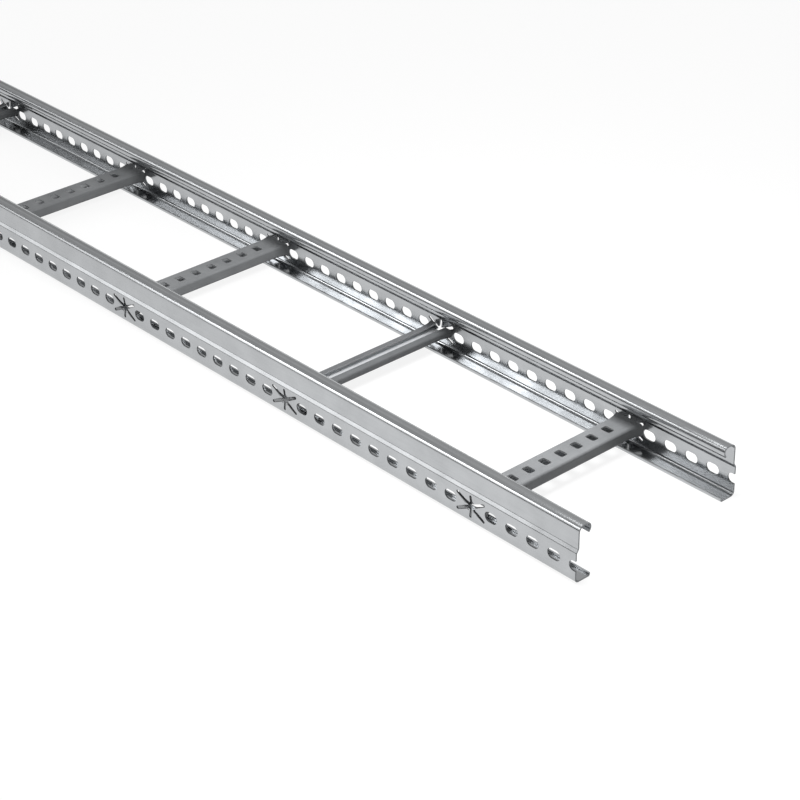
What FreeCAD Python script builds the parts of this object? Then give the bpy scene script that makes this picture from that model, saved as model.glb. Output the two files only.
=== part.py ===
"""Cable ladder section, 3 m long and 200 mm wide: two roll-formed side rails and twelve rungs.

Frame: X runs along the ladder, Y across it and Z up. The origin lies under the middle of the
ladder, on the plane that the rails' bottom flanges stand on. All lengths are in millimetres.
"""
import FreeCAD, Part
import math
import os
import Sketcher

V = FreeCAD.Vector

SIZES = [
    ("rung_count", 12, "rungs in one ladder"),
    ("rung_spacing", 250, "from one rung to the next; the first sits half of this from the end"),
    ("ladder_width", 200, "over the outer faces of the two lower webs"),
    ("rail_height", 55, "bottom flange to rolled top edge"),
    ("rail_sheet", 1.5, "thickness of the rail's sheet"),
    ("flange_width", 18, "bottom flange, from the web's outer face"),
    ("lip_height", 3.5, "upturned edge of the bottom flange"),
    ("lip_bend", 2, "outer radius of the bend under that edge"),
    ("bottom_bend", 4.5, "outer radius between web and bottom flange"),
    ("jog_height", 30, "where the web starts to step inward"),
    ("jog_rise", 3, "height of the step"),
    ("jog_depth", 2.5, "how far the upper web stands in"),
    ("jog_bend", 2.5, "inner radius at both ends of the step"),
    ("top_bend", 6.5, "outer radius between upper web and top flange"),
    ("top_width", 17.5, "rolled top edge, from the lower web's outer face"),
    ("curl_bend", 5.5, "outer radius of the rolled top edge"),
    ("curl_drop", 7.5, "top of the rail to where the rolled edge turns back"),
    ("curl_return", 3, "height of the part that turns back"),
    ("curl_lean", 2.2, "how far that part leans back"),
    ("hole_row", 17, "height of the hole row over the bottom"),
    ("hole_pitch", 25, "from one hole to the next"),
    ("hole_length", 15, "rail hole, along the rail"),
    ("hole_height", 10, "rail hole, up the web"),
    ("flat_inset", 0.05, "how far a plain hole's corners stay inside the round ends"),
    ("ray_width", 3, "slit of the star joint"),
    ("ray_reach", 19.5, "star centre to the tip of a slanted slit"),
    ("ray_rise", 11.3, "star centre to the tip of an upright slit"),
    ("ray_angle", 27, "slope of the slanted slits, in degrees"),
    ("eye_radius", 4, "star centre to the corners between the slits"),
    ("rung_sheet", 1.5, "thickness of the rungs' sheet"),
    ("rung_bend", 2.5, "outer radius of the two bends beside a rung's web"),
    ("slotted_width", 27, "slotted rung, along the ladder"),
    ("slotted_height", 12, "slotted rung, its web up"),
    ("slotted_rise", 7.5, "top of a slotted rung over the hole row"),
    ("slotted_lip", 7, "width of the two lips under a slotted rung"),
    ("slot_count", 8, "slots in a slotted rung"),
    ("slot_pitch", 20, "from one slot to the next"),
    ("slot_width", 8, "slot, along the rung"),
    ("slot_length", 11, "slot, across the rung"),
    ("turned_width", 25, "turned rung, along the ladder"),
    ("turned_height", 8, "turned rung, its open side up"),
    ("turned_rise", 4.8, "top of a turned rung over the hole row"),
    ("turned_lip", 7, "width of the two lips on a turned rung"),
    ("turned_first", 2, "number of the first turned rung"),
    ("turned_step", 3, "every so many rungs one is turned"),
]

RAIL_LENGTH = "sizes.rung_count * sizes.rung_spacing"
NEAR = 1e-4


def make_sheet(doc):
    """The spreadsheet of driving sizes, one alias a row."""
    sheet = doc.addObject("Spreadsheet::Sheet", "sizes")
    for row, (alias, value, note) in enumerate(SIZES, start=1):
        sheet.set("A%d" % row, alias)
        sheet.set("B%d" % row, str(value))
        sheet.setAlias("B%d" % row, alias)
        sheet.set("C%d" % row, note)
    doc.recompute()
    return sheet


def value_of(doc, formula):
    """The present value of a formula of spreadsheet aliases."""
    result = doc.sizes.evalExpression(formula)
    return float(getattr(result, "Value", result))


def origin_item(body, role):
    """The body's own origin plane or axis with this role."""
    return next(item for item in body.Origin.OriginFeatures if item.Role == role)


def new_body(doc, label):
    """An empty body that carries the name of its piece."""
    body = doc.addObject("PartDesign::Body", label)
    body.Label = label
    return body


def new_sketch(body, name, plane):
    """An empty sketch on one of the body's origin planes."""
    sketch = body.newObject("Sketcher::SketchObject", name)
    sketch.AttachmentSupport = [(origin_item(body, plane), "")]
    sketch.MapMode = "FlatFace"
    return sketch


def bind(sketch, kind, places, formula):
    """A sizing constraint that follows a formula of spreadsheet aliases."""
    index = sketch.addConstraint(Sketcher.Constraint(kind, *places, value_of(sketch.Document, formula)))
    sketch.setExpression("Constraints[%d]" % index, formula)


def pin(sketch, geometry, point, across, up):
    """Holds one point of a sketch at two formulas, measured from the sketch's origin."""
    bind(sketch, "DistanceX", (-1, 1, geometry, point), across)
    bind(sketch, "DistanceY", (-1, 1, geometry, point), up)


def draw(body, name, plane, corners):
    """A sketch of one closed outline; each corner is a pair of formulas, across and up."""
    doc = body.Document
    sketch = new_sketch(body, name, plane)
    spots = [V(value_of(doc, across), value_of(doc, up), 0) for across, up in corners]
    for start, end in zip(spots, spots[1:] + spots[:1]):
        sketch.addGeometry(Part.LineSegment(start, end), False)
    last = len(corners) - 1
    for index, (across, up) in enumerate(corners):
        before = index - 1 if index else last
        sketch.addConstraint(Sketcher.Constraint("Coincident", before, 2, index, 1))
        pin(sketch, index, 1, across, up)
    doc.recompute()
    return sketch


def draw_long_hole(body, name, plane, across, up):
    """A sketch of one rail hole with fully round ends, about the formulas across and up."""
    doc = body.Document
    sketch = new_sketch(body, name, plane)
    radius = value_of(doc, "sizes.hole_height / 2")
    middle = V(value_of(doc, across), value_of(doc, up), 0)
    reach = V(value_of(doc, "sizes.hole_length / 2") - radius, 0, 0)
    rise, axis = V(0, radius, 0), V(0, 0, 1)
    left, right = middle - reach, middle + reach
    quarter = math.pi / 2
    sketch.addGeometry([
        Part.ArcOfCircle(Part.Circle(left, axis, radius), quarter, 3 * quarter),
        Part.LineSegment(left - rise, right - rise),
        Part.ArcOfCircle(Part.Circle(right, axis, radius), -quarter, quarter),
        Part.LineSegment(right + rise, left + rise),
    ], False)
    for side in range(4):
        sketch.addConstraint(Sketcher.Constraint("Tangent", side, 2, (side + 1) % 4, 1))
    bind(sketch, "Radius", (0,), "sizes.hole_height / 2")
    for arc, sign in ((0, "-"), (2, "+")):
        pin(sketch, arc, 3, "%s %s (sizes.hole_length - sizes.hole_height) / 2" % (across, sign), up)
    doc.recompute()
    return sketch


def edges_at(shape, axis, spots):
    """Names of the edges that run along axis through the given spots of the section."""
    names = []
    for number, edge in enumerate(shape.Edges, start=1):
        ends = [vertex.Point for vertex in edge.Vertexes]
        if len(ends) != 2 or abs((ends[1] - ends[0]).normalize().dot(axis)) < 1 - NEAR:
            continue
        if any((ends[0] - spot).cross(axis).Length < NEAR for spot in spots):
            names.append("Edge%d" % number)
    return names


def round_bends(body, axis, bends):
    """Rounds long corners of the body's section; bends holds (name, spots, radius formula)."""
    for name, spots, radius in bends:
        feature = body.Tip
        names = edges_at(feature.Shape, axis, spots)
        if len(names) != len(spots):
            raise RuntimeError("%s: %d corners found for %d" % (name, len(names), len(spots)))
        rounded = body.newObject("PartDesign::Fillet", name)
        rounded.Base = (feature, names)
        rounded.setExpression("Radius", radius)
        body.Document.recompute()


def cut_rows(body, sketch, name, axis, steps):
    """Pockets a sketch right through and repeats it along axis.

    steps holds one or two pairs of formulas, spacing and count: a row, and a row of rows.
    """
    doc = body.Document
    pocket = body.newObject("PartDesign::Pocket", name)
    pocket.Profile = sketch
    pocket.Type = "ThroughAll"
    pocket.SideType = "Symmetric"
    doc.recompute()
    pattern = body.newObject("PartDesign::LinearPattern", name + "_rows")
    pattern.Originals = [pocket]
    for ending, (spacing, count) in zip(("", "2"), steps):
        setattr(pattern, "Direction" + ending, (origin_item(body, axis), [""]))
        setattr(pattern, "Mode" + ending, "Spacing")
        pattern.setExpression("Offset" + ending, spacing)
        pattern.setExpression("Occurrences" + ending, count)
    body.Tip = pattern
    doc.recompute()
    if pattern.Shape.Volume >= pocket.Shape.Volume - NEAR:
        raise RuntimeError("%s: the copies cut nothing" % name)


def rail_corners():
    """Formulas of the rail's section, from the bottom lip round to the rolled top edge.

    Across is measured inward from the lower web's outer face, up from the bottom flange.
    """
    sheet = "sizes.rail_sheet"
    step = "sizes.jog_height + sizes.jog_rise"
    upper = "sizes.jog_depth + %s" % sheet
    miter = "%s * tan(atan(sizes.jog_depth / sizes.jog_rise) / 2)" % sheet
    turn = "sizes.rail_height - sizes.curl_drop"
    lean = "atan(sizes.curl_lean / sizes.curl_return)"
    tip = "sizes.top_width - sizes.curl_lean"
    outer = {
        "lip": ("sizes.flange_width", "sizes.lip_height"),
        "lip_bend": ("sizes.flange_width", "0"),
        "bottom_bend": ("0", "0"),
        "jog_low": ("0", "sizes.jog_height"),
        "jog_high": ("sizes.jog_depth", step),
        "top_bend": ("sizes.jog_depth", "sizes.rail_height"),
        "curl": ("sizes.top_width", "sizes.rail_height"),
        "curl_turn": ("sizes.top_width", turn),
        "curl_tip": (tip, "%s - sizes.curl_return" % turn),
    }
    inner = {
        "lip": ("sizes.flange_width - %s" % sheet, "sizes.lip_height"),
        "lip_bend": ("sizes.flange_width - %s" % sheet, sheet),
        "bottom_bend": (sheet, sheet),
        "jog_low": (sheet, "sizes.jog_height - %s" % miter),
        "jog_high": (upper, "%s - %s" % (step, miter)),
        "top_bend": (upper, "sizes.rail_height - %s" % sheet),
        "curl": ("sizes.top_width - %s" % sheet, "sizes.rail_height - %s" % sheet),
        "curl_turn": ("sizes.top_width - %s" % sheet, "%s + %s * tan(%s / 2)" % (turn, sheet, lean)),
        "curl_tip": ("%s - %s * cos(%s)" % (tip, sheet, lean),
                     "%s - sizes.curl_return + %s * sin(%s)" % (turn, sheet, lean)),
    }
    return outer, inner


def rail_bends(doc, outer, inner):
    """The rounded corners of the rail's section; both faces of the sheet bend about one centre."""
    def spot(corners, name):
        return V(0, *(value_of(doc, formula) for formula in corners[name]))

    bends = [("lip_bend", [spot(outer, "lip_bend")], "sizes.lip_bend")]
    for name in ("bottom_bend", "top_bend"):
        bends.append((name, [spot(outer, name)], "sizes.%s" % name))
        bends.append((name + "_inside", [spot(inner, name)], "sizes.%s - sizes.rail_sheet" % name))
    bends.append(("curl", [spot(outer, "curl"), spot(outer, "curl_turn")], "sizes.curl_bend"))
    bends.append(("curl_inside", [spot(inner, "curl"), spot(inner, "curl_turn")],
                  "sizes.curl_bend - sizes.rail_sheet"))
    bends.append(("jog", [spot(inner, "jog_low"), spot(outer, "jog_high")], "sizes.jog_bend"))
    bends.append(("jog_outside", [spot(outer, "jog_low"), spot(inner, "jog_high")],
                  "sizes.jog_bend + sizes.rail_sheet"))
    return bends


def hole_corners(across):
    """Formulas of a plain rail hole, three flats to each round end, about a spot of the hole row."""
    radius = "(sizes.hole_height / 2 - sizes.flat_inset)"
    reach = "(sizes.hole_length - sizes.hole_height) / 2"
    corners = []
    for side, first in (("+", -90), ("-", 90)):
        for turn in range(first, first + 181, 60):
            corners.append(("%s %s %s + %s * cos(%ddeg)" % (across, side, reach, radius, turn),
                            "sizes.hole_row + %s * sin(%ddeg)" % (radius, turn)))
    return corners


def star_corners():
    """Formulas of the star's outline: two corners at each slit's tip and one between the slits."""
    half = "sizes.ray_width / 2"
    slope = "sizes.ray_angle"
    rays = [
        ("(-%s)" % slope, "sizes.ray_reach"),
        (slope, "sizes.ray_reach"),
        ("90", "sizes.ray_rise"),
        ("(180 - %s)" % slope, "sizes.ray_reach"),
        ("(180 + %s)" % slope, "sizes.ray_reach"),
        ("270", "sizes.ray_rise"),
        ("(360 - %s)" % slope, "sizes.ray_reach"),
    ]
    spots = []
    for (angle, reach), (following, _) in zip(rays, rays[1:]):
        turn = "%s * 1deg" % angle
        for side, back in (("+", "-"), ("-", "+")):
            spots.append(("%s * cos(%s) %s %s * sin(%s)" % (reach, turn, side, half, turn),
                          "%s * sin(%s) %s %s * cos(%s)" % (reach, turn, back, half, turn)))
        between = "(%s + %s) / 2 * 1deg" % (angle, following)
        spots.append(("sizes.eye_radius * cos(%s)" % between, "sizes.eye_radius * sin(%s)" % between))
    return [("sizes.rung_spacing / 2 + %s" % across, "sizes.hole_row + %s" % up) for across, up in spots]


def make_rail(doc, label):
    """One side rail along its own X, its lower web's outer face on its XZ plane.

    The hole row skips every place where a star joint holds a rung. Three pairs of holes, near
    both ends and in the middle, are the ones that splice plates and brackets are bolted to.
    """
    body = new_body(doc, label)
    outer, inner = rail_corners()
    pad = body.newObject("PartDesign::Pad", "rail_length")
    pad.Profile = draw(body, "rail_section", "YZ_Plane", list(outer.values()) + list(inner.values())[::-1])
    pad.setExpression("Length", RAIL_LENGTH)
    doc.recompute()
    round_bends(body, V(1, 0, 0), rail_bends(doc, outer, inner))

    in_bay = "(floor(sizes.rung_spacing / sizes.hole_pitch) - 1)"
    first = "(1 - %s) / 2 * sizes.hole_pitch" % in_bay
    hole = draw(body, "hole_outline", "XZ_Plane", hole_corners(first))
    cut_rows(body, hole, "holes", "X_Axis",
             [("sizes.hole_pitch", in_bay), ("sizes.rung_spacing", "sizes.rung_count + 1")])
    bolt_hole = draw_long_hole(body, "bolt_hole_outline", "XZ_Plane", "sizes.hole_pitch", "sizes.hole_row")
    cut_rows(body, bolt_hole, "bolt_holes", "X_Axis",
             [("2 * sizes.hole_pitch", "2"), ("%s / 2 - 2 * sizes.hole_pitch" % RAIL_LENGTH, "3")])
    star = draw(body, "star_outline", "XZ_Plane", star_corners())
    cut_rows(body, star, "stars", "X_Axis", [("sizes.rung_spacing", "sizes.rung_count")])
    return body


def rung_corners(kind):
    """Formulas of a rung's C section, its web up (slotted) or down (turned), and of the web's bends."""
    top, height = "sizes.%s_rise" % kind, "sizes.%s_height" % kind
    bottom = "(%s - %s)" % (top, height)
    web, lips, inward = (top, bottom, "-") if kind == "slotted" else (bottom, top, "+")
    outward = "+" if inward == "-" else "-"
    sheet = "sizes.rung_sheet"
    half = "sizes.%s_width / 2" % kind
    wall = "(%s - %s)" % (half, sheet)
    lip = "(%s - sizes.%s_lip)" % (half, kind)
    under = "%s %s %s" % (web, inward, sheet)
    over = "%s %s %s" % (lips, outward, sheet)
    bends = [("-%s" % half, web), (half, web)]
    outer = [("-%s" % half, lips)] + bends + [(half, lips)]
    inner = [(wall, over), (wall, under), ("-%s" % wall, under), ("-%s" % wall, over)]
    corners = [("-%s" % lip, lips)] + outer + [(lip, lips), (lip, over)] + inner + [("-%s" % lip, over)]
    return corners, bends


def make_rung(doc, label, kind):
    """One rung about its own middle, from the inner face of one web to that of the other."""
    body = new_body(doc, label)
    corners, bends = rung_corners(kind)
    pad = body.newObject("PartDesign::Pad", kind + "_length")
    pad.Profile = draw(body, kind + "_section", "XZ_Plane", corners)
    pad.SideType = "Symmetric"
    pad.setExpression("Length", "sizes.ladder_width - 2 * sizes.rail_sheet")
    doc.recompute()
    spots = [V(value_of(doc, across), 0, value_of(doc, up)) for across, up in bends]
    round_bends(body, V(0, 1, 0), [(kind + "_bends", spots, "sizes.rung_bend")])
    return body


def cut_slots(body):
    """Cuts the row of slots in a rung's web, evenly about the middle of the rung."""
    half = "sizes.slot_length / 2"
    first = "(1 - sizes.slot_count) * sizes.slot_pitch / 2"
    low, high = "%s - sizes.slot_width / 2" % first, "%s + sizes.slot_width / 2" % first
    corners = [("-%s" % half, low), (half, low), (half, high), ("-%s" % half, high)]
    slot = draw(body, "slot_outline", "XY_Plane", corners)
    cut_rows(body, slot, "slots", "Y_Axis", [("sizes.slot_pitch", "sizes.slot_count")])


def repeat(doc, label, pattern_piece):
    """A further piece of the same shape, with a place of its own."""
    body = new_body(doc, label)
    shape = body.newObject("PartDesign::FeatureBase", label + "_shape")
    shape.BaseFeature = pattern_piece
    body.Tip = shape
    return body


def make_rails(doc):
    """Both side rails: the far one is the same piece, turned round to face the near one."""
    near = make_rail(doc, "side_rail_near")
    near.setExpression("Placement.Base.x", "-%s / 2" % RAIL_LENGTH)
    near.setExpression("Placement.Base.y", "-sizes.ladder_width / 2")
    far = repeat(doc, "side_rail_far", near)
    far.Placement = FreeCAD.Placement(V(0, 0, 0), FreeCAD.Rotation(V(0, 0, 1), 180))
    far.setExpression("Placement.Base.x", "%s / 2" % RAIL_LENGTH)
    far.setExpression("Placement.Base.y", "sizes.ladder_width / 2")
    return [near, far]


def make_rungs(doc):
    """All rungs, evenly along the ladder, every turned_step-th of them turned."""
    count, first, step = (round(value_of(doc, "sizes." + name))
                          for name in ("rung_count", "turned_first", "turned_step"))
    made = {}
    rungs = []
    for number in range(1, count + 1):
        label = "rung_%02d" % number
        kind = "turned" if (number - first) % step == 0 else "slotted"
        if kind in made:
            body = repeat(doc, label, made[kind])
        else:
            body = made[kind] = make_rung(doc, label, kind)
            if kind == "slotted":
                cut_slots(body)
        from_middle = "(%d - (sizes.rung_count + 1) / 2)" % number
        body.setExpression("Placement.Base.x", "%s * sizes.rung_spacing" % from_middle)
        body.setExpression("Placement.Base.z", "sizes.hole_row")
        rungs.append(body)
    return rungs


def check(doc, bodies):
    """Stops if a feature failed or a piece isn't one sound solid."""
    for item in doc.Objects:
        bad = [word for word in item.State if word in ("Invalid", "Error")]
        if bad:
            raise RuntimeError("%s: %s" % (item.Name, bad))
    for body in bodies:
        if body.Shape.isNull() or not body.Shape.isValid() or len(body.Shape.Solids) != 1:
            raise RuntimeError("%s isn't one sound solid" % body.Label)


def main():
    """Builds the ladder and writes one STEP file for each piece."""
    doc = FreeCAD.newDocument("cable_ladder")
    make_sheet(doc)
    bodies = make_rails(doc) + make_rungs(doc)
    doc.recompute()
    check(doc, bodies)
    os.makedirs("parts", exist_ok=True)
    for body in bodies:
        body.Shape.exportStep(os.path.join("parts", body.Label + ".step"))
        print("%-16s volume %.1f" % (body.Label, body.Shape.Volume), body.Shape.BoundBox)


main()
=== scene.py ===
"""The look of a cable ladder section: two perforated side rails and twelve channel rungs.

Every piece is made as the real one is: a flat blank of steel sheet is punched, then folded
along a section, then given its thickness. Sizes are in millimetres until a mesh is made.
"""
import logging
import math
from bisect import bisect_right
from dataclasses import dataclass
from enum import Enum, IntEnum
from typing import Callable, Sequence

import bpy
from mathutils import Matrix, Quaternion, Vector
from mathutils.geometry import delaunay_2d_cdt


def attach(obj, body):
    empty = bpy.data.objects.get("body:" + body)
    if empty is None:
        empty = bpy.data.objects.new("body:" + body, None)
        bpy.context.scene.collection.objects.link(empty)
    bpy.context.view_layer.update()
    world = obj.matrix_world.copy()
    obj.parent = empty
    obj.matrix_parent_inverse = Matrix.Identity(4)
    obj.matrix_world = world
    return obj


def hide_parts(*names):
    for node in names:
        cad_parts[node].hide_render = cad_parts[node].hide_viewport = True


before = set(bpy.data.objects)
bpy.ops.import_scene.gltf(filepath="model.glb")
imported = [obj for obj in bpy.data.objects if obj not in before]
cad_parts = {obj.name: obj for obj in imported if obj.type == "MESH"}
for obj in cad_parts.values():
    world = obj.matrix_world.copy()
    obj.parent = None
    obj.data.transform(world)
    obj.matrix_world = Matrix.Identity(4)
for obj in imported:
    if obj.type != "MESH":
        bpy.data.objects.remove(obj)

log = logging.getLogger("cable_ladder")

MM = 0.001
BODY = "root"
# Two stations of a sheet that are closer than this, in millimetres, are the same one.
TOLERANCE = 1e-6
# Corners of the triangles in a patch are joined within this many millimetres.
MERGE_GAP = 1e-5
# Points of a blank that fall on the same thousandth of a millimetre are the same point.
POINTS_PER_MM = 1000
# Keeps the length of a side that has none out of a division.
TINY = 1e-9
# A bend's own facets turn by less than this, in degrees, and stay smooth; a cut edge is sharp.
SHARP_ANGLE = 35.0
# The flat of a section that is punched: the rail's lower web, and the rung's web.
PUNCHED_FLAT = 2

Flat = tuple[float, float]
Place = Callable[[float, float, float], Vector]
Press = Callable[[float, float], float]


def linear(colour: str) -> tuple[float, float, float, float]:
    """Turns an sRGB hex colour into linear light, by the sRGB standard's own curve.

    Args:
        colour: the colour as "#RRGGBB".

    Returns:
        Red, green, blue and an alpha of 1.
    """
    parts = [int(colour[i:i + 2], 16) / 255 for i in (1, 3, 5)]
    red, green, blue = [p / 12.92 if p <= 0.04045 else ((p + 0.055) / 1.055) ** 2.4 for p in parts]
    return red, green, blue, 1.0


def turned(arrow: Vector, angle: float) -> Vector:
    """A flat arrow turned counterclockwise by an angle in radians."""
    cos, sin = math.cos(angle), math.sin(angle)
    return Vector((arrow.x * cos - arrow.y * sin, arrow.x * sin + arrow.y * cos))


def inside(spot: Sequence[float], loop: Sequence[Flat]) -> bool:
    """Tells whether a flat spot lies inside a closed loop.

    Args:
        spot: the spot to test.
        loop: the loop's corners in order.

    Returns:
        True if the spot is inside.
    """
    odd = False
    x, y = spot[0], spot[1]
    for (ax, ay), (bx, by) in zip(loop, [*loop[1:], loop[0]]):
        if (ay > y) != (by > y) and x < ax + (bx - ax) * (y - ay) / (by - ay):
            odd = not odd
    return odd


def gap_to(spot: Sequence[float], loop: Sequence[Flat]) -> float:
    """The distance from a flat spot to the nearest side of a closed loop.

    Args:
        spot: the spot to measure from.
        loop: the loop's corners in order.

    Returns:
        The distance in millimetres.
    """
    here, best = Vector(spot), math.inf
    for start, end in zip(loop, [*loop[1:], loop[0]]):
        base, side = Vector(start), Vector(end) - Vector(start)
        share = min(max((here - base).dot(side) / max(side.length_squared, TINY), 0.0), 1.0)
        best = min(best, (here - base - side * share).length)
    return best


@dataclass(frozen=True)
class Corner:
    """One corner of a sheet's section, on the sheet's outer face."""

    across: float
    up: float
    radius: float = 0.0


class Section:
    """A folded sheet's section, as stations along the width of the unfolded sheet.

    The corners run so that the inner face is on the right hand.
    """

    def __init__(self, corners: Sequence[Corner], sheet: float, bend_step: float = 8.0) -> None:
        """Works out the stations.

        Args:
            corners: the section's corners, from one edge of the sheet to the other.
            sheet: thickness of the sheet.
            bend_step: largest turn between two stations of a bend, in degrees.
        """
        self.sheet = sheet
        self.spots: list[Vector] = []
        self.inward: list[Vector] = []
        self.widths: list[float] = []
        self.flats: list[Flat] = []
        spots = [Vector((corner.across, corner.up)) for corner in corners]
        headings = [(after - here).normalized() for here, after in zip(spots, spots[1:])]
        self._add(spots[0], headings[0])
        for number, corner in enumerate(corners[1:-1], start=1):
            start, end = headings[number - 1], headings[number]
            turn = math.atan2(start.x * end.y - start.y * end.x, start.dot(end))
            tangent = spots[number] - start * corner.radius * math.tan(abs(turn) / 2)
            spoke = Vector((-start.y, start.x)) * math.copysign(corner.radius, -turn)
            middle = tangent - spoke
            steps = math.ceil(math.degrees(abs(turn)) / bend_step)
            reached = self.widths[-1]
            for step in range(steps + 1):
                share = turn * step / steps
                self._add(middle + turned(spoke, share), turned(start, share))
                if step == 0:
                    self.flats.append((reached, self.widths[-1]))
        reached = self.widths[-1]
        self._add(spots[-1], headings[-1])
        self.flats.append((reached, self.widths[-1]))

    def _add(self, spot: Vector, heading: Vector) -> None:
        """Adds a station at a spot of the outer face."""
        self.widths.append(self.widths[-1] + (spot - self.spots[-1]).length if self.spots else 0.0)
        self.spots.append(spot)
        self.inward.append(Vector((heading.y, -heading.x)))

    def at(self, width: float, depth: float) -> Vector:
        """Finds a point of the folded sheet.

        Args:
            width: distance along the unfolded outer face.
            depth: distance from the outer face into the sheet.

        Returns:
            The point, across and up.
        """
        number = min(max(bisect_right(self.widths, width) - 1, 0), len(self.widths) - 2)
        low, high = self.widths[number], self.widths[number + 1]
        share = (width - low) / (high - low)
        inward = self.inward[number].lerp(self.inward[number + 1], share).normalized()
        return self.spots[number].lerp(self.spots[number + 1], share) + inward * depth


class Blank:
    """The flat sheet before it is folded: points along and across it, and the faces between."""

    def __init__(self) -> None:
        """Starts with no sheet at all."""
        self.points: list[Flat] = []
        self.faces: list[tuple[int, ...]] = []
        self._numbers: dict[tuple[int, int], int] = {}

    def point(self, along: float, width: float) -> int:
        """The number of the point at a place of the sheet, made where there is none yet."""
        key = (round(along * POINTS_PER_MM), round(width * POINTS_PER_MM))
        if key not in self._numbers:
            self._numbers[key] = len(self.points)
            self.points.append((along, width))
        return self._numbers[key]

    def strips(self, alongs: Sequence[float], widths: Sequence[float]) -> None:
        """Fills a rectangle of the sheet with a grid of plain faces.

        Args:
            alongs: the grid's stations along the sheet.
            widths: its stations across the sheet.
        """
        for near, far in zip(alongs, alongs[1:]):
            for low, high in zip(widths, widths[1:]):
                ring = ((near, low), (far, low), (far, high), (near, high))
                self.faces.append(tuple(self.point(*spot) for spot in ring))

    def patch(self, outline: Sequence[Flat], cutouts: Sequence[Sequence[Flat]],
              loose: Sequence[Flat], starts: Sequence[float]) -> None:
        """Fills an outline with triangles round its cutouts, once at every start.

        Args:
            outline: the patch's corners in order.
            cutouts: closed loops that stay open in the sheet.
            loose: further points that the triangles use.
            starts: how far along the sheet each copy of the patch lies.
        """
        spots: list[Flat] = []
        sides: list[tuple[int, int]] = []
        for loop in (outline, *cutouts):
            first, count = len(spots), len(loop)
            spots += loop
            sides += [(first + i, first + (i + 1) % count) for i in range(count)]
        spots += loose
        flat = [Vector(spot) for spot in spots]
        _, _, triangles, sources, _, _ = delaunay_2d_cdt(flat, sides, [], 0, MERGE_GAP)
        kept = []
        for triangle in triangles:
            corners = [spots[sources[number][0]] for number in triangle]
            middle = [sum(axis) / 3 for axis in zip(*corners)]
            if inside(middle, outline) and not any(inside(middle, loop) for loop in cutouts):
                kept.append(corners)
        for start in starts:
            for corners in kept:
                ring = [(along + start, width) for along, width in corners]
                self.faces.append(tuple(self.point(*spot) for spot in ring))

    def open_sides(self) -> list[tuple[int, int]]:
        """The sides that only one face has, which are the sheet's cut edges."""
        sides = {(a, b) for face in self.faces for a, b in zip(face, (*face[1:], face[0]))}
        return sorted((a, b) for a, b in sides if (b, a) not in sides)


class Face(IntEnum):
    """The kinds of face that a sheet has; the value is the number of the material slot."""

    OUTER = 0
    INNER = 1
    PUNCHED = 2
    LONG_EDGE = 3


def unpressed(along: float, width: float) -> float:
    """How far a sheet that is pressed in nowhere is pressed in at a place of the blank."""
    return 0.0


def form(name: str, blank: Blank, section: Section, place: Place, press: Press) -> bpy.types.Object:
    """Folds a blank along a section and gives it the sheet's thickness.

    Args:
        name: name of the piece.
        blank: the punched flat sheet.
        section: the section that it is folded to.
        place: turns a place along, across and up the piece into one of the ladder.
        press: how far the sheet is pressed inward at a place of the blank.

    Returns:
        The piece, whose faces carry the number of their kind's material slot.
    """
    points = []
    for depth in (0.0, section.sheet):
        for along, width in blank.points:
            across, up = section.at(width, depth + press(along, width))
            points.append(place(along, across, up) * MM)
    count = len(blank.points)
    backs = [tuple(number + count for number in reversed(face)) for face in blank.faces]
    edges = [(b, a, a + count, b + count) for a, b in blank.open_sides()]
    mesh = bpy.data.meshes.new(name)
    mesh.from_pydata(points, [], [*blank.faces, *backs, *edges])
    ends = (section.widths[0], section.widths[-1])
    kinds = [Face.LONG_EDGE if blank.points[b][1] == blank.points[a][1] in ends else Face.PUNCHED
             for b, a, *_ in edges]
    slots = [Face.OUTER] * len(blank.faces) + [Face.INNER] * len(backs) + kinds
    mesh.polygons.foreach_set("material_index", slots)
    mesh.shade_smooth()
    mesh.set_sharp_from_angle(angle=math.radians(SHARP_ANGLE))
    mesh.update()
    piece = bpy.data.objects.new(name, mesh)
    bpy.context.scene.collection.objects.link(piece)
    normals = piece.modifiers.new("even_shading", "WEIGHTED_NORMAL")
    normals.keep_sharp = True
    return piece


def long_hole(middle: Flat, length: float, height: float, steps: int = 12) -> list[Flat]:
    """The loop of a hole with fully round ends.

    Args:
        middle: the hole's middle.
        length: its length along the sheet.
        height: its height across the sheet.
        steps: sides that each round end is made of.

    Returns:
        The loop's corners in order.
    """
    radius = height / 2
    loop = []
    for side, first in ((1, -90), (-1, 90)):
        for step in range(steps + 1):
            angle = math.radians(first + 180 * step / steps)
            loop.append((middle[0] + side * (length / 2 - radius) + radius * math.cos(angle),
                         middle[1] + radius * math.sin(angle)))
    return loop


def rounded_slot(middle: Flat, along: float, across: float, radius: float,
                 steps: int = 5) -> list[Flat]:
    """The loop of an oblong slot with rounded corners.

    Args:
        middle: the slot's middle.
        along: its size along the sheet.
        across: its size across the sheet.
        radius: radius of its corners.
        steps: sides that each corner is made of.

    Returns:
        The loop's corners in order.
    """
    loop = []
    for quarter, (right, top) in enumerate(((1, -1), (1, 1), (-1, 1), (-1, -1))):
        for step in range(steps + 1):
            angle = math.radians(quarter * 90 - 90 + 90 * step / steps)
            loop.append((middle[0] + right * (along / 2 - radius) + radius * math.cos(angle),
                         middle[1] + top * (across / 2 - radius) + radius * math.sin(angle)))
    return loop


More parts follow.
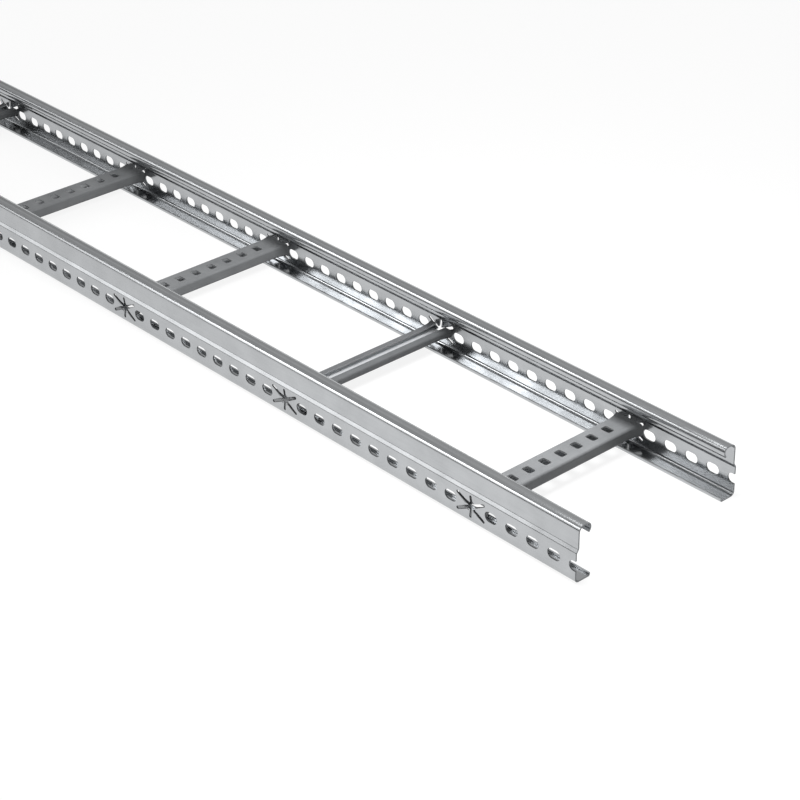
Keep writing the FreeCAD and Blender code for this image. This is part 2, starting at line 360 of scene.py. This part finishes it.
@dataclass
class StarJoint:
    """The six slits that run out of one eye in the web, where a rung is held.

    The sheet between the slits is pressed inward round the eye. It bends there on rings of
    points, which stay clear of the cut edge.
    """

    slit: float = 3.0
    reach: float = 19.5
    rise: float = 11.3
    slope: float = 27.0
    eye: float = 4.0
    tip_steps: int = 6
    eye_shares: tuple[float, ...] = (0.0, 0.33, 0.67, 1.0)
    pressed_radius: float = 6.6
    pressed_depth: float = 0.9
    rings: int = 6
    first_ring: float = 0.7
    ring_gap: float = 0.8
    ring_points: int = 36
    clearance: float = 0.35

    def rays(self) -> list[Flat]:
        """Each slit's direction in degrees and the reach of its tip, once round."""
        slope, reach, rise = self.slope, self.reach, self.rise
        return [(slope, reach), (90.0, rise), (180 - slope, reach),
                (180 + slope, reach), (270.0, rise), (360 - slope, reach)]

    def loop(self, middle: Flat) -> list[Flat]:
        """The star's cut edge.

        Args:
            middle: middle of the eye.

        Returns:
            The loop's corners in order, with round tips and a round eye.
        """
        rays = self.rays()
        half = self.slit / 2
        mouth = math.degrees(math.asin(half / self.eye))
        corners = []
        for number, (angle, reach) in enumerate(rays):
            heading = turned(Vector((1, 0)), math.radians(angle))
            for step in range(self.tip_steps + 1):
                bow = turned(heading, math.radians(-90 + 180 / self.tip_steps * step)) * half
                corners.append(heading * (reach - half) + bow)
            following = rays[(number + 1) % len(rays)][0] + (360 if number == len(rays) - 1 else 0)
            for share in self.eye_shares:
                spoke = angle + mouth + (following - angle - 2 * mouth) * share
                corners.append(turned(Vector((self.eye, 0)), math.radians(spoke)))
        return [(middle[0] + corner.x, middle[1] + corner.y) for corner in corners]

    def pressed_points(self, middle: Flat, loop: Sequence[Flat]) -> list[Flat]:
        """Points that let the sheet round the eye bend inward.

        Args:
            middle: middle of the eye.
            loop: the star's cut edge.

        Returns:
            The points, all in the sheet and clear of its cut edge.
        """
        points = []
        for ring in range(self.rings):
            radius = self.eye + self.first_ring + self.ring_gap * ring
            for step in range(self.ring_points):
                spoke = turned(Vector((radius, 0)), math.radians(360 / self.ring_points * step))
                spot = (middle[0] + spoke.x, middle[1] + spoke.y)
                if not inside(spot, loop) and gap_to(spot, loop) > self.clearance:
                    points.append(spot)
        return points

    def sunk(self, distance: float) -> float:
        """How far the sheet is pressed inward at a distance from the eye's middle."""
        share = (self.pressed_radius - distance) / (self.pressed_radius - self.eye)
        share = min(max(share, 0.0), 1.0)
        return self.pressed_depth * share * share * (3 - 2 * share)


class Side(Enum):
    """The two sides of the ladder; the value is the turn about the upright axis."""

    NEAR = 1
    FAR = -1


@dataclass
class SideRail:
    """One roll-formed and perforated side rail."""

    side: Side
    length: float = 3000.0
    ladder_width: float = 200.0
    height: float = 55.0
    sheet: float = 1.5
    flange: float = 18.0
    lip: float = 3.5
    jog_height: float = 29.7
    jog_rise: float = 3.8
    jog_depth: float = 2.5
    top_width: float = 17.5
    curl_drop: float = 7.5
    curl_return: float = 3.0
    curl_lean: float = 2.2
    lip_bend: float = 2.0
    bottom_bend: float = 4.5
    jog_low_bend: float = 3.5
    jog_high_bend: float = 2.5
    top_bend: float = 6.5
    curl_bend: float = 5.5
    hole_row: float = 17.0
    hole_pitch: float = 25.0
    hole_length: float = 15.0
    hole_height: float = 10.0
    rung_spacing: float = 250.0
    star_cells: int = 3

    def section(self) -> Section:
        """The rail's section, from the bottom lip round to the rolled top edge."""
        step, turn = self.jog_height + self.jog_rise, self.height - self.curl_drop
        return Section([
            Corner(self.flange, self.lip),
            Corner(self.flange, 0.0, self.lip_bend),
            Corner(0.0, 0.0, self.bottom_bend),
            Corner(0.0, self.jog_height, self.jog_low_bend),
            Corner(self.jog_depth, step, self.jog_high_bend),
            Corner(self.jog_depth, self.height, self.top_bend),
            Corner(self.top_width, self.height, self.curl_bend),
            Corner(self.top_width, turn, self.curl_bend),
            Corner(self.top_width - self.curl_lean, turn - self.curl_return),
        ], self.sheet)

    def row(self, section: Section) -> float:
        """Where the middle of the hole row is, across the unfolded sheet."""
        low = section.flats[PUNCHED_FLAT][0]
        return low + self.hole_row - section.at(low, 0.0).y

    def joints(self) -> list[float]:
        """Where the star joints are, along the rail."""
        count = round(self.length / self.rung_spacing)
        return [(number + 0.5) * self.rung_spacing for number in range(count)]

    def blank(self, section: Section, star: StarJoint) -> Blank:
        """Punches the flat sheet: the hole row and the stars in the lower web.

        Args:
            section: the section that the sheet is folded to.
            star: the star joint's shape.

        Returns:
            The punched blank.
        """
        blank = Blank()
        low, high = section.flats[PUNCHED_FLAT]
        row, pitch = self.row(section), self.hole_pitch
        half = pitch / 2
        count = round(self.length / pitch)
        borders = [0.0, *(half + pitch * number for number in range(count)), self.length]
        blank.strips(borders, [width for width in section.widths if width <= low + TOLERANCE])
        blank.strips(borders, [width for width in section.widths if width >= high - TOLERANCE])

        # A cell with one hole, wherever no star is near.
        hole = long_hole((0.0, row), self.hole_length, self.hole_height)
        cell = [(-half, low), (half, low), (half, high), (-half, high)]
        joints, reach = self.joints(), self.star_cells * half
        places = [pitch * number for number in range(1, count)]
        plain = [place for place in places
                 if all(abs(place - joint) > reach for joint in joints)]
        blank.patch(cell, [hole], [], plain)

        # A wider cell with a star and the hole on each side of it.
        loop = star.loop((0.0, row))
        beside = [[(along + shift, width) for along, width in hole] for shift in (-pitch, pitch)]
        wide = [-reach, -half, half, reach]
        cell = [(along, low) for along in wide] + [(along, high) for along in reversed(wide)]
        blank.patch(cell, [loop, *beside], star.pressed_points((0.0, row), loop), joints)

        # Half a cell at each end, where the cut went through the middle of a hole.
        right = [spot for spot in hole if spot[0] > -TOLERANCE]
        notch = sorted(right, key=lambda spot: -spot[1])
        blank.patch([(0.0, low), (half, low), (half, high), (0.0, high), (0.0, notch[0][1]), *notch,
                     (0.0, notch[-1][1])], [], [], [0.0])
        blank.patch([(0.0, high), (-half, high), (-half, low), (0.0, low), (0.0, notch[-1][1]),
                     *((-along, width) for along, width in reversed(notch)), (0.0, notch[0][1])],
                    [], [], [self.length])
        return blank

    def build(self, skins: Sequence[bpy.types.Material]) -> bpy.types.Object:
        """Makes the rail and dresses it.

        Args:
            skins: a material for each kind of face.

        Returns:
            The rail.
        """
        section, star = self.section(), StarJoint()
        row = self.row(section)
        joints, turn = self.joints(), self.side.value

        def place(along: float, across: float, up: float) -> Vector:
            """Puts a place of the rail where the ladder has it."""
            x, y = along - self.length / 2, across - self.ladder_width / 2
            return Vector((turn * x, turn * y, up))

        def press(along: float, width: float) -> float:
            """How far the web is pressed in round the nearest joint."""
            nearest = min(joints, key=lambda joint: abs(joint - along))
            return star.sunk(math.hypot(along - nearest, width - row))

        word = self.side.name.lower()
        rail = form("%s_side_rail" % word, self.blank(section, star), section, place, press)
        dress(rail, skins)
        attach(rail, BODY)
        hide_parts("side_rail_%s" % word)
        log.info("%s: %d faces", rail.name, len(rail.data.polygons))
        return rail


class RungKind(Enum):
    """The two ways round that a rung is fixed."""

    SLOTTED = "closed side up, with a row of slots"
    TURNED = "open side up, with no slots"


@dataclass
class Rung:
    """One channel rung between the rails, opened out a little at the ends."""

    number: int
    kind: RungKind
    middle: float
    width: float
    height: float
    top: float
    lip: float = 7.0
    sheet: float = 1.5
    bend: float = 2.5
    length: float = 197.0
    slots: int = 8
    slot_pitch: float = 20.0
    slot_along: float = 8.0
    slot_across: float = 11.0
    slot_corner: float = 2.0
    flare_length: float = 16.0
    flare_across: float = 0.25
    flare_up: float = 0.1
    flare_shares: tuple[float, ...] = (1.0, 0.75, 0.5, 0.35, 0.2, 0.1, 0.0)

    def section(self) -> Section:
        """The rung's section, from one lip over the web to the other lip."""
        half, turn = self.width / 2, 1 if self.kind is RungKind.SLOTTED else -1
        middle = self.top - self.height / 2
        corners = [(-half + self.lip, -1), (-half, -1), (-half, 1),
                   (half, 1), (half, -1), (half - self.lip, -1)]
        return Section([Corner(turn * across, middle + turn * end * self.height / 2, self.bend)
                        for across, end in corners], self.sheet)

    def blank(self, section: Section) -> Blank:
        """Punches the rung's flat sheet.

        Args:
            section: the section that the sheet is folded to.

        Returns:
            The blank, with slots where the rung has them.
        """
        blank = Blank()
        low, high = section.flats[PUNCHED_FLAT]
        reach = self.slots * self.slot_pitch / 2
        end = self.length / 2
        tips = [end - self.flare_length * share for share in self.flare_shares]
        alongs = [self.slot_pitch * number - reach for number in range(self.slots + 1)]
        alongs = [-tip for tip in reversed(tips)] + alongs + tips
        blank.strips(alongs, [width for width in section.widths if width <= low + TOLERANCE])
        blank.strips(alongs, [width for width in section.widths if width >= high - TOLERANCE])
        if self.kind is RungKind.TURNED:
            blank.strips(alongs, [low, high])
            return blank
        blank.strips([along for along in alongs if along <= -reach + TOLERANCE], [low, high])
        blank.strips([along for along in alongs if along >= reach - TOLERANCE], [low, high])
        half = self.slot_pitch / 2
        middle = (0.0, (low + high) / 2)
        slot = rounded_slot(middle, self.slot_along, self.slot_across, self.slot_corner)
        cell = [(-half, low), (half, low), (half, high), (-half, high)]
        starts = [self.slot_pitch * number + half - reach for number in range(self.slots)]
        blank.patch(cell, [slot], [], starts)
        return blank

    def build(self, skins: Sequence[bpy.types.Material]) -> bpy.types.Object:
        """Makes the rung and dresses it.

        Args:
            skins: a material for each kind of face.

        Returns:
            The rung.
        """
        section = self.section()
        waist = self.top - self.height / 2

        def place(along: float, across: float, up: float) -> Vector:
            """Puts a place of the rung where the ladder has it; the ends widen a little."""
            past = abs(along) - self.length / 2 + self.flare_length
            share = min(max(past / self.flare_length, 0.0), 1.0)
            wider = 1 + self.flare_across * share * share
            taller = 1 + self.flare_up * share * share
            return Vector((self.middle + across * wider, -along, waist + (up - waist) * taller))

        name = "channel_%02d" % self.number
        rung = form(name, self.blank(section), section, place, unpressed)
        dress(rung, skins)
        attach(rung, BODY)
        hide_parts("rung_%02d" % self.number)
        log.info("%s: %s, %d faces", rung.name, self.kind.name.lower(), len(rung.data.polygons))
        return rung


def add_node(tree: bpy.types.NodeTree, kind: str, settings: dict[str, object] | None = None,
             inputs: dict[str | int, object] | None = None) -> bpy.types.Node:
    """Adds a node with its settings, values and links.

    Args:
        tree: the node tree.
        kind: the node's type name.
        settings: attributes of the node.
        inputs: a value, or an output socket to link from, for each input.

    Returns:
        The new node.
    """
    node = tree.nodes.new(kind)
    for name, value in (settings or {}).items():
        setattr(node, name, value)
    for name, value in (inputs or {}).items():
        if isinstance(value, bpy.types.NodeSocket):
            tree.links.new(value, node.inputs[name])
        else:
            node.inputs[name].default_value = value
    return node


@dataclass(frozen=True)
class Finish:
    """A steel sheet's finish: what it is, and how its surface was made.

    Streaks are the marks of the rolls, and clouds are patches of thicker and thinner zinc. The
    real marks are finer than a pixel, so they are drawn as coarse as they need to show. The
    pattern is the clouds and a share of the streaks; the ranges say which part of it counts.
    """

    name: str
    colour: str
    pale: str
    roughness: float
    streak_length: float = 60.0
    streak_width: float = 0.9
    streak_share: float = 0.35
    cloud: float = 35.0
    tint_range: tuple[float, float] = (0.45, 0.9)
    gloss_range: tuple[float, float] = (0.4, 0.95)
    roughness_range: float = 0.06
    bump: float = 0.02
    bump_height: float = 0.2
    metallic: float = 1.0
    specular: float = 0.5

    def material(self, along_y: bool) -> bpy.types.Material:
        """Makes the material.

        Args:
            along_y: whether the sheet was rolled along Y; otherwise along X.

        Returns:
            The material.
        """
        material = bpy.data.materials.new(self.name)
        material.use_nodes = True
        tree = material.node_tree
        shader = tree.nodes["Principled BSDF"]
        place = add_node(tree, "ShaderNodeTexCoord").outputs["Object"]
        fine, long = 1 / (self.streak_width * MM), 1 / (self.streak_length * MM)
        scale = (fine, long, fine) if along_y else (long, fine, fine)
        stretched = add_node(tree, "ShaderNodeMapping", inputs={"Vector": place, "Scale": scale})
        streaks = add_node(tree, "ShaderNodeTexNoise", inputs={
            "Vector": stretched.outputs[0], "Scale": 1.0, "Detail": 3.0, "Roughness": 0.6})
        clouds = add_node(tree, "ShaderNodeTexNoise", inputs={
            "Vector": place, "Scale": 1 / (self.cloud * MM), "Detail": 4.0, "Roughness": 0.55})
        mixed = add_node(tree, "ShaderNodeMath", {"operation": "MULTIPLY_ADD"}, {
            0: streaks.outputs["Fac"], 1: self.streak_share, 2: clouds.outputs["Fac"]})
        low, high = self.tint_range
        spread = add_node(tree, "ShaderNodeMapRange", inputs={
            "Value": mixed.outputs[0], "From Min": low, "From Max": high})
        tint = add_node(tree, "ShaderNodeMix", {"data_type": "RGBA"}, {
            "Factor": spread.outputs[0], 6: linear(self.colour), 7: linear(self.pale)})
        tree.links.new(tint.outputs[2], shader.inputs["Base Color"])
        low, high = self.gloss_range
        rough = add_node(tree, "ShaderNodeMapRange", inputs={
            "Value": mixed.outputs[0], "From Min": low, "From Max": high,
            "To Min": self.roughness + self.roughness_range,
            "To Max": self.roughness - self.roughness_range})
        tree.links.new(rough.outputs[0], shader.inputs["Roughness"])
        relief = add_node(tree, "ShaderNodeBump", inputs={
            "Height": streaks.outputs["Fac"], "Strength": self.bump,
            "Distance": self.bump_height * MM})
        tree.links.new(relief.outputs[0], shader.inputs["Normal"])
        shader.inputs["Metallic"].default_value = self.metallic
        shader.inputs["Specular IOR Level"].default_value = self.specular
        return material


# Continuously hot-dip galvanised steel sheet, roll-formed: satin, with faint lengthwise streaks.
RAIL_SHEET = Finish("hot_dip_galvanised_sheet_roll_formed", "#ABADAF", "#B7B9BB", 0.17)
# The same sheet from a duller coil, whose matt zinc scatters the light: darker, with no mirror.
RUNG_SHEET = Finish("hot_dip_galvanised_sheet_dull", "#7E8082", "#929496", 0.5,
                    metallic=0.0, specular=0.3)
# The inner face of the slotted rungs, painted paler and brighter than the outer face: painted light
# on the shaded inside seen through the slots.
RUNG_INSIDE_PAINTED_LIGHT = Finish("galvanised_inside_painted_light", "#B4B6B8", "#C2C4C6", 0.4,
                     metallic=0.75)
# The turned rungs' outer face, a shade darker again.
TURNED_SHEET = Finish("hot_dip_galvanised_sheet_dark", "#646668", "#757779", 0.5,
                      metallic=0.0, specular=0.3)
# The turned rungs' inner face, painted pale: painted light that lifts the shade in the channel
# under the far lip.
TURNED_INSIDE_PAINTED_LIGHT = Finish("galvanised_pale_inside_painted_light", "#CCCED0", "#D6D8DA", 0.5,
                       metallic=0.15)
# The rails' punched holes and cut ends, bare of zinc in places: darker and rougher than the faces.
SHEARED_EDGE = Finish("sheared_galvanised_edge", "#76787A", "#86888A", 0.5,
                      streak_width=0.4, cloud=8.0)
# The rails' long edges, slit with sharp rollers: nearly as bright as the faces.
SLIT_EDGE = Finish("slit_galvanised_edge", "#A2A4A6", "#B0B2B4", 0.45, streak_width=0.4)
# All edges of the rungs, painted paler than the faces: painted light on the slot walls, so that the
# slots read lighter.
PUNCHED_EDGE_PAINTED_LIGHT = Finish("punched_edge_painted_light", "#A4A6A8", "#B2B4B6", 0.55,
                      streak_width=0.4, cloud=8.0, metallic=0.3)


def dress(piece: bpy.types.Object, skins: Sequence[bpy.types.Material]) -> None:
    """Gives a piece its materials.

    Args:
        piece: the piece.
        skins: a material for each kind of face.
    """
    for skin in skins:
        piece.data.materials.append(skin)


@dataclass(frozen=True)
class Lobe:
    """A round patch of light on the dome, full inside one angle and gone outside another.

    Both angles are in degrees from the middle of the patch.
    """

    name: str
    heading: tuple[float, float, float]
    light: float
    inner: float
    outer: float


@dataclass
class Studio:
    """A pale floor, a dome with patches of light in it, a lamp over one end, and the camera.

    Places and the floor's size are in metres, its drop is in millimetres, and angles are in
    degrees. The camera's azimuth is measured from +Y towards -X.
    """

    floor_size: float = 70.0
    floor_drop: float = 0.1
    floor_colour: str = "#7E7E7E"
    floor_glow: float = 0.85
    dome_low: float = 0.12
    dome_high: float = 0.5
    dome_from: float = 0.3
    dome_to: float = 0.6
    key_place: tuple[float, float, float] = (1.32, -0.05, 0.65)
    key_size: float = 0.3
    key_power: float = 4.4
    lobes: tuple[Lobe, ...] = (
        Lobe("softbox", (-0.638, -0.598, 0.486), 6.5, 3.5, 7.0),
        Lobe("backdrop", (-0.68, 0.73, -0.05), 0.95, 8.0, 30.0),
        Lobe("skylight", (-0.63, 0.58, 0.50), 0.12, 12.0, 30.0),
        Lobe("low strip", (-0.68, -0.665, 0.285), 1.7, 7.0, 12.0),
    )
    camera_place: tuple[float, float, float] = (2.5686, -1.2468, 1.0880)
    camera_azimuth: float = 48.202
    camera_elevation: float = 30.241
    camera_roll: float = 0.657
    camera_sensor: float = 36.0
    camera_reach: float = 100.0
    focal_pixels: float = 2294.7
    frame_pixels: float = 800.0

    def build(self) -> None:
        """Makes the floor, the light and the camera."""
        self.add_floor()
        self.add_dome()
        self.add_key_light()
        self.add_camera()
        bpy.context.scene.view_settings.view_transform = "Standard"

    def add_floor(self) -> None:
        """Lays the floor, which shows white where nothing shades it."""
        half = self.floor_size / 2
        corners = [(-half, -half, 0), (half, -half, 0), (half, half, 0), (-half, half, 0)]
        mesh = bpy.data.meshes.new("studio_floor")
        mesh.from_pydata(corners, [], [(0, 1, 2, 3)])
        floor = bpy.data.objects.new("studio_floor", mesh)
        floor.location.z = -self.floor_drop * MM
        bpy.context.scene.collection.objects.link(floor)
        material = bpy.data.materials.new("white_paper_roll")
        material.use_nodes = True
        tree = material.node_tree
        tree.nodes.clear()
        path = add_node(tree, "ShaderNodeLightPath")
        seen = add_node(tree, "ShaderNodeMath", {"operation": "ADD"}, {
            0: path.outputs["Is Camera Ray"], 1: path.outputs["Is Glossy Ray"]})
        seen = add_node(tree, "ShaderNodeMath", {"operation": "ADD", "use_clamp": True}, {
            0: seen.outputs[0], 1: path.outputs["Is Transmission Ray"]})
        glow = add_node(tree, "ShaderNodeMath", {"operation": "MULTIPLY"}, {
            0: seen.outputs[0], 1: self.floor_glow})
        paper = add_node(tree, "ShaderNodeBsdfDiffuse", inputs={"Color": linear(self.floor_colour)})
        light = add_node(tree, "ShaderNodeEmission", inputs={"Strength": glow.outputs[0]})
        both = add_node(tree, "ShaderNodeAddShader", inputs={
            0: paper.outputs[0], 1: light.outputs[0]})
        add_node(tree, "ShaderNodeOutputMaterial", inputs={"Surface": both.outputs[0]})
        mesh.materials.append(material)

    def add_dome(self) -> None:
        """Lights the scene from a dome that is dim at the horizon, with patches of light in it."""
        world = bpy.data.worlds.new("studio_dome")
        bpy.context.scene.world = world
        world.use_nodes = True
        tree = world.node_tree
        tree.nodes.clear()
        heading = add_node(tree, "ShaderNodeTexCoord").outputs["Generated"]
        height = add_node(tree, "ShaderNodeSeparateXYZ", inputs={0: heading}).outputs["Z"]
        dome = add_node(tree, "ShaderNodeMapRange", {"interpolation_type": "SMOOTHSTEP"}, {
            "Value": height, "From Min": self.dome_from, "From Max": self.dome_to,
            "To Min": self.dome_low, "To Max": self.dome_high})
        total = dome.outputs[0]
        for lobe in self.lobes:
            middle = Vector(lobe.heading).normalized()
            near = add_node(tree, "ShaderNodeVectorMath", {"operation": "DOT_PRODUCT"}, {
                0: heading, 1: middle})
            settings = {"interpolation_type": "SMOOTHSTEP", "label": lobe.name}
            patch = add_node(tree, "ShaderNodeMapRange", settings, {
                "Value": near.outputs["Value"],
                "From Min": math.cos(math.radians(lobe.outer)),
                "From Max": math.cos(math.radians(lobe.inner)),
                "To Min": 0.0, "To Max": lobe.light})
            added = add_node(tree, "ShaderNodeMath", {"operation": "ADD"}, {
                0: total, 1: patch.outputs[0]})
            total = added.outputs[0]
        back = add_node(tree, "ShaderNodeBackground", inputs={"Strength": total})
        back.inputs["Color"].default_value = (1.0, 1.0, 1.0, 1.0)
        add_node(tree, "ShaderNodeOutputWorld", inputs={"Surface": back.outputs[0]})

    def add_key_light(self) -> None:
        """Hangs a square lamp over the near end, so that the rungs darken with distance."""
        lamp = bpy.data.lights.new("key_lamp", "AREA")
        lamp.size = self.key_size
        lamp.energy = self.key_power
        holder = bpy.data.objects.new("key_lamp", lamp)
        holder.location = self.key_place
        holder.visible_camera = False
        bpy.context.scene.collection.objects.link(holder)

    def add_camera(self) -> None:
        """Sets the camera where the photograph was taken from."""
        data = bpy.data.cameras.new("photograph_camera")
        data.sensor_width = self.camera_sensor
        data.lens = self.focal_pixels * data.sensor_width / self.frame_pixels
        data.clip_end = self.camera_reach
        camera = bpy.data.objects.new("photograph_camera", data)
        camera.location = self.camera_place
        azimuth, elevation = math.radians(self.camera_azimuth), math.radians(self.camera_elevation)
        level = math.cos(elevation)
        west, north = math.sin(azimuth) * level, math.cos(azimuth) * level
        heading = Vector((-west, north, -math.sin(elevation)))
        upright = heading.to_track_quat("-Z", "Y")
        roll = Quaternion((0.0, 0.0, 1.0), -math.radians(self.camera_roll))
        camera.rotation_euler = (upright @ roll).to_euler()
        bpy.context.scene.collection.objects.link(camera)
        bpy.context.scene.camera = camera


@dataclass
class RungRow:
    """All rungs of the ladder; every third one, from the second on, is turned."""

    count: int = 12
    spacing: float = 250.0
    turned_every: int = 3
    first_turned: int = 2

    def rungs(self) -> list[Rung]:
        """The rungs in order, evenly spaced about the ladder's middle."""
        rungs = []
        for number in range(1, self.count + 1):
            middle = self.spacing * (number - (self.count + 1) / 2)
            if number % self.turned_every == self.first_turned:
                kind, sizes = RungKind.TURNED, {"width": 25.0, "height": 8.0, "top": 21.8}
            else:
                kind, sizes = RungKind.SLOTTED, {"width": 27.0, "height": 12.0, "top": 24.5}
            rungs.append(Rung(number, kind, middle, **sizes))
        return rungs


def main() -> None:
    logging.basicConfig(level=logging.INFO, format="%(name)s: %(message)s")
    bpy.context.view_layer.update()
    sheet, cut, slit = (finish.material(along_y=False)
                        for finish in (RAIL_SHEET, SHEARED_EDGE, SLIT_EDGE))
    for side in Side:
        SideRail(side).build([sheet, sheet, cut, slit])
    # The rungs' edges are painted paler: painted light on the slot walls.
    edge = PUNCHED_EDGE_PAINTED_LIGHT.material(along_y=True)
    rung_skins = {}
    # The inner faces carry painted light: paler colours that brighten their shaded slots and
    # channels.
    for kind, outer, inner in ((RungKind.SLOTTED, RUNG_SHEET, RUNG_INSIDE_PAINTED_LIGHT),
                               (RungKind.TURNED, TURNED_SHEET, TURNED_INSIDE_PAINTED_LIGHT)):
        faces = [finish.material(along_y=True) for finish in (outer, inner)]
        rung_skins[kind] = [*faces, edge, edge]
    for rung in RungRow().rungs():
        rung.build(rung_skins[rung.kind])
    Studio().build()
    log.info("studio ready")


if __name__ == "__main__":
    main()
